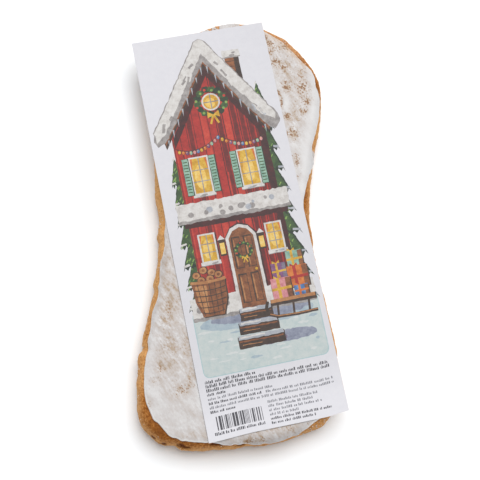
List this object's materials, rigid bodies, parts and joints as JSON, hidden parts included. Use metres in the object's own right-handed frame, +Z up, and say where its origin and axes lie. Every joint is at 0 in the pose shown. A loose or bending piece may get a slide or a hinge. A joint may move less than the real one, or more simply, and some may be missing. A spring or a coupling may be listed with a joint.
{
  "type": "gingerbread cake",
  "caption": "Long waisted gingerbread cake with white icing on its top and a printed paper card laid along it.",
  "frame": {"origin": "on the ground plane, under the middle of the whole cake with its card", "axes": "+Y from the cake's foot to its head, along its length; +X to the right seen from above; +Z up, out of the iced top"},
  "size_m": [0.1166, 0.2415, 0.0207],
  "materials": {
    "gingerbread": "matte baked crust, golden brown with darker and lighter crumbs",
    "icing": "dried white sugar glaze, satin, mottled where the crust shows through",
    "card": "coated paper board, satin, printed in colours on its upper side"
  },
  "bodies": {
    "root": {"gingerbread": "gingerbread", "icing": "icing", "picture_card": "card"}
  },
  "joints": []
}
